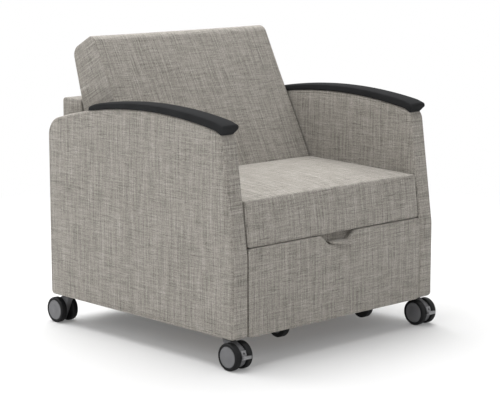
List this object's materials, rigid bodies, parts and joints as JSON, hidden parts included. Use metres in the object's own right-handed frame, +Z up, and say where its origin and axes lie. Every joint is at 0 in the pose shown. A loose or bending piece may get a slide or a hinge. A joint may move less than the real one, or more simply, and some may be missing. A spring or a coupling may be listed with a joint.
{
  "type": "sleep chair",
  "caption": "Upholstered patient-room sleep chair on locking twin-wheel casters: padded side panels with black arm caps, a seat that pulls out on rails and a back that folds flat.",
  "frame": {"origin": "on the floor, under the middle of the whole chair's width and depth", "axes": "+Z up, +Y towards the rear of the chair, +X towards the chair's right-hand arm as seen from in front"},
  "size_m": [0.848, 0.884, 0.9008],
  "materials": {
    "fabric": "matte",
    "cap": "satin",
    "plywood": "satin",
    "dark_steel": "satin",
    "steel": "satin",
    "tyre": "matte",
    "hood": "satin"
  },
  "bodies": {
    "frame": {"left_arm_panel": "fabric", "right_arm_panel": "fabric", "left_arm_cap": "cap", "right_arm_cap": "cap", "rear_panel": "fabric", "front_tie_rail": "dark_steel", "left_slide_track": "steel", "right_slide_track": "steel", "front_left_caster_plate": "dark_steel", "front_right_caster_plate": "dark_steel", "rear_left_caster_plate": "dark_steel", "rear_right_caster_plate": "dark_steel"},
    "seat_unit": {"seat_cushion": "fabric", "seat_deck": "plywood", "front_panel": "fabric", "pull_tab": "fabric", "grip_lining": "fabric", "left_side_board": "plywood", "right_side_board": "plywood", "rear_brace": "plywood", "left_slide_runner": "steel", "right_slide_runner": "steel", "left_support_fork": "dark_steel", "right_support_fork": "dark_steel", "left_support_axle": "steel", "right_support_axle": "steel", "left_hinge_bracket": "dark_steel", "right_hinge_bracket": "dark_steel"},
    "back": {"back_cushion": "fabric", "back_board": "fabric", "hinge_tube": "steel", "left_hinge_arm": "dark_steel", "right_hinge_arm": "dark_steel"},
    "left_support_wheel": {"left_support_wheel": "tyre"},
    "right_support_wheel": {"right_support_wheel": "tyre"},
    "front_left_caster": {"front_left_caster_stem": "steel", "front_left_caster_hood": "hood", "front_left_caster_axle": "steel"},
    "front_left_caster_left_wheel": {"front_left_caster_left_wheel": "tyre"},
    "front_left_caster_right_wheel": {"front_left_caster_right_wheel": "tyre"},
    "front_left_caster_brake_pedal": {"front_left_caster_brake_pedal": "hood"},
    "front_right_caster": {"front_right_caster_stem": "steel", "front_right_caster_hood": "hood", "front_right_caster_axle": "steel"},
    "front_right_caster_left_wheel": {"front_right_caster_left_wheel": "tyre"},
    "front_right_caster_right_wheel": {"front_right_caster_right_wheel": "tyre"},
    "front_right_caster_brake_pedal": {"front_right_caster_brake_pedal": "hood"},
    "rear_left_caster": {"rear_left_caster_stem": "steel", "rear_left_caster_hood": "hood", "rear_left_caster_axle": "steel"},
    "rear_left_caster_left_wheel": {"rear_left_caster_left_wheel": "tyre"},
    "rear_left_caster_right_wheel": {"rear_left_caster_right_wheel": "tyre"},
    "rear_right_caster": {"rear_right_caster_stem": "steel", "rear_right_caster_hood": "hood", "rear_right_caster_axle": "steel"},
    "rear_right_caster_left_wheel": {"rear_right_caster_left_wheel": "tyre"},
    "rear_right_caster_right_wheel": {"rear_right_caster_right_wheel": "tyre"}
  },
  "joints": [
    {"name": "seat_slide", "type": "slide", "parent": "frame", "child": "seat_unit", "axis": [0, -0.995, -0.1], "range_m": [0, 0.48]},
    {"name": "back_fold", "type": "hinge", "parent": "seat_unit", "child": "back", "pos_m": [0, 0.06764, 0.458], "axis": [-1, 0, 0], "range_deg": [0, 62.5]},
    {"name": "left_support_wheel_spin", "type": "hinge", "parent": "seat_unit", "child": "left_support_wheel", "pos_m": [-0.178, -0.347, 0.084], "axis": [1, 0, 0], "continuous": true},
    {"name": "right_support_wheel_spin", "type": "hinge", "parent": "seat_unit", "child": "right_support_wheel", "pos_m": [0.178, -0.347, 0.084], "axis": [1, 0, 0], "continuous": true},
    {"name": "front_left_caster_swivel", "type": "hinge", "parent": "frame", "child": "front_left_caster", "pos_m": [-0.392, -0.364, 0], "axis": [0, 0, 1], "continuous": true},
    {"name": "front_left_caster_left_wheel_spin", "type": "hinge", "parent": "front_left_caster", "child": "front_left_caster_left_wheel", "pos_m": [-0.392, -0.392, 0.04], "axis": [1, 0, 0], "continuous": true},
    {"name": "front_left_caster_right_wheel_spin", "type": "hinge", "parent": "front_left_caster", "child": "front_left_caster_right_wheel", "pos_m": [-0.392, -0.392, 0.04], "axis": [1, 0, 0], "continuous": true},
    {"name": "front_left_caster_brake", "type": "hinge", "parent": "front_left_caster", "child": "front_left_caster_brake_pedal", "pos_m": [-0.392, -0.392, 0.04], "axis": [1, 0, 0], "range_deg": [0, 14]},
    {"name": "front_right_caster_swivel", "type": "hinge", "parent": "frame", "child": "front_right_caster", "pos_m": [0.392, -0.364, 0], "axis": [0, 0, 1], "continuous": true},
    {"name": "front_right_caster_left_wheel_spin", "type": "hinge", "parent": "front_right_caster", "child": "front_right_caster_left_wheel", "pos_m": [0.392, -0.392, 0.04], "axis": [1, 0, 0], "continuous": true},
    {"name": "front_right_caster_right_wheel_spin", "type": "hinge", "parent": "front_right_caster", "child": "front_right_caster_right_wheel", "pos_m": [0.392, -0.392, 0.04], "axis": [1, 0, 0], "continuous": true},
    {"name": "front_right_caster_brake", "type": "hinge", "parent": "front_right_caster", "child": "front_right_caster_brake_pedal", "pos_m": [0.392, -0.392, 0.04], "axis": [1, 0, 0], "range_deg": [0, 14]},
    {"name": "rear_left_caster_swivel", "type": "hinge", "parent": "frame", "child": "rear_left_caster", "pos_m": [-0.392, 0.374, 0], "axis": [0, 0, 1], "continuous": true},
    {"name": "rear_left_caster_left_wheel_spin", "type": "hinge", "parent": "rear_left_caster", "child": "rear_left_caster_left_wheel", "pos_m": [-0.392, 0.402, 0.04], "axis": [1, 0, 0], "continuous": true},
    {"name": "rear_left_caster_right_wheel_spin", "type": "hinge", "parent": "rear_left_caster", "child": "rear_left_caster_right_wheel", "pos_m": [-0.392, 0.402, 0.04], "axis": [1, 0, 0], "continuous": true},
    {"name": "rear_right_caster_swivel", "type": "hinge", "parent": "frame", "child": "rear_right_caster", "pos_m": [0.392, 0.374, 0], "axis": [0, 0, 1], "continuous": true},
    {"name": "rear_right_caster_left_wheel_spin", "type": "hinge", "parent": "rear_right_caster", "child": "rear_right_caster_left_wheel", "pos_m": [0.392, 0.402, 0.04], "axis": [1, 0, 0], "continuous": true},
    {"name": "rear_right_caster_right_wheel_spin", "type": "hinge", "parent": "rear_right_caster", "child": "rear_right_caster_right_wheel", "pos_m": [0.392, 0.402, 0.04], "axis": [1, 0, 0], "continuous": true}
  ],
  "couplings": [
    {"joint": "back_fold", "follows": "seat_slide", "rad_per_m": 2.2725}
  ]
}
